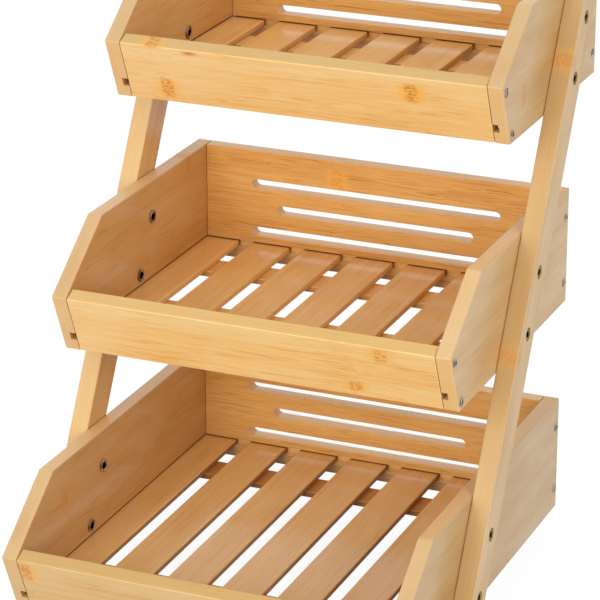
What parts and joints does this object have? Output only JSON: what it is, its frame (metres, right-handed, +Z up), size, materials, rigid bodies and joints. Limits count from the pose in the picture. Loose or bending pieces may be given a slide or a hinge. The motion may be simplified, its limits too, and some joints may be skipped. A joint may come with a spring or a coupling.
{
  "type": "tiered fruit basket stand",
  "caption": "Free-standing bamboo fruit stand: open bins with leaning fronts, slotted backs and slatted floors, stepped up and back between two leaning uprights.",
  "frame": {"origin": "on the ground, midway across the width and midway between the foremost and the rearmost point", "axes": "+Z up, the front (the bins' leaning front boards) faces -Y, +X to the right seen from the front"},
  "size_m": [0.3506, 0.4122, 0.465],
  "materials": {
    "bamboo_board": "laminated bamboo, light honey, satin lacquer, fine lengthwise grain",
    "bamboo_slat": "laminated bamboo strip, honey brown, satin lacquer",
    "bronze_bolt": "antique bronze plating, satin",
    "zinc_screw": "bright zinc or nickel plating"
  },
  "bodies": {
    "root": {"left_upright": "bamboo_board", "right_upright": "bamboo_board", "bottom_left_side": "bamboo_board", "bottom_right_side": "bamboo_board", "bottom_front": "bamboo_board", "bottom_back": "bamboo_board", "bottom_front_rail": "bamboo_slat", "bottom_rear_rail": "bamboo_slat", "bottom_slat_1": "bamboo_slat", "bottom_slat_2": "bamboo_slat", "bottom_slat_3": "bamboo_slat", "bottom_slat_4": "bamboo_slat", "bottom_slat_5": "bamboo_slat", "bottom_slat_6": "bamboo_slat", "bottom_slat_7": "bamboo_slat", "bottom_left_bolt_lower": "bronze_bolt", "bottom_left_bolt_upper": "bronze_bolt", "bottom_right_bolt_lower": "bronze_bolt", "bottom_right_bolt_upper": "bronze_bolt", "middle_left_side": "bamboo_board", "middle_right_side": "bamboo_board", "middle_front": "bamboo_board", "middle_back": "bamboo_board", "middle_front_rail": "bamboo_slat", "middle_rear_rail": "bamboo_slat", "middle_slat_1": "bamboo_slat", "middle_slat_2": "bamboo_slat", "middle_slat_3": "bamboo_slat", "middle_slat_4": "bamboo_slat", "middle_slat_5": "bamboo_slat", "middle_slat_6": "bamboo_slat", "middle_slat_7": "bamboo_slat", "middle_left_bolt_lower": "bronze_bolt", "middle_left_bolt_upper": "bronze_bolt", "middle_right_bolt_lower": "bronze_bolt", "middle_right_bolt_upper": "bronze_bolt", "top_left_side": "bamboo_board", "top_right_side": "bamboo_board", "top_front": "bamboo_board", "top_back": "bamboo_board", "top_front_rail": "bamboo_slat", "top_rear_rail": "bamboo_slat", "top_slat_1": "bamboo_slat", "top_slat_2": "bamboo_slat", "top_slat_3": "bamboo_slat", "top_slat_4": "bamboo_slat", "top_slat_5": "bamboo_slat", "top_slat_6": "bamboo_slat", "top_slat_7": "bamboo_slat", "top_left_bolt_lower": "bronze_bolt", "top_left_bolt_upper": "bronze_bolt", "top_right_bolt_lower": "bronze_bolt", "top_right_bolt_upper": "bronze_bolt", "left_rear_foot": "bamboo_board", "right_rear_foot": "bamboo_board", "left_foot_screw": "zinc_screw", "right_foot_screw": "zinc_screw"}
  },
  "joints": []
}
